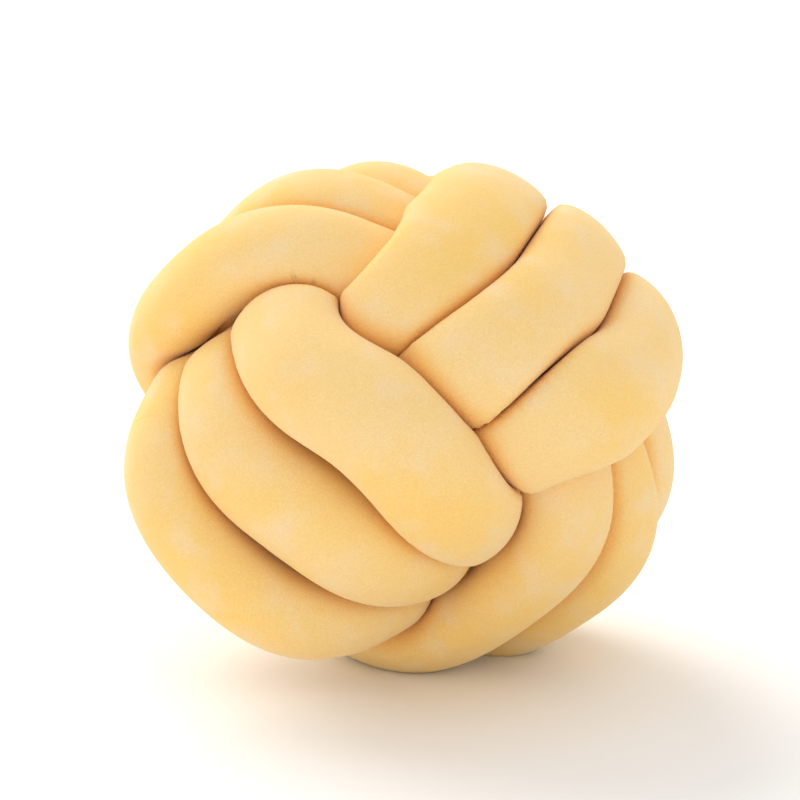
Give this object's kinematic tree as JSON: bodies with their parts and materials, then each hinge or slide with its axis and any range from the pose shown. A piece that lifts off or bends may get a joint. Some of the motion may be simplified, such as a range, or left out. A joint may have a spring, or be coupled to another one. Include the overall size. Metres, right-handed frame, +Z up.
{
  "type": "knot cushion",
  "caption": "Round knot cushion: one long stuffed velvet tube wound into a ball of three crossing bands.",
  "frame": {"origin": "centre of the cushion's outline on the surface that it rests on", "axes": "+Z up, +X to the right and -Y towards whoever looks at its front, as it is shown for sale"},
  "size_m": [0.29, 0.2934, 0.2649],
  "materials": {
    "velvet": "short pile pastel yellow velvet"
  },
  "bodies": {
    "root": {"knotted_tube": "velvet"}
  },
  "joints": []
}
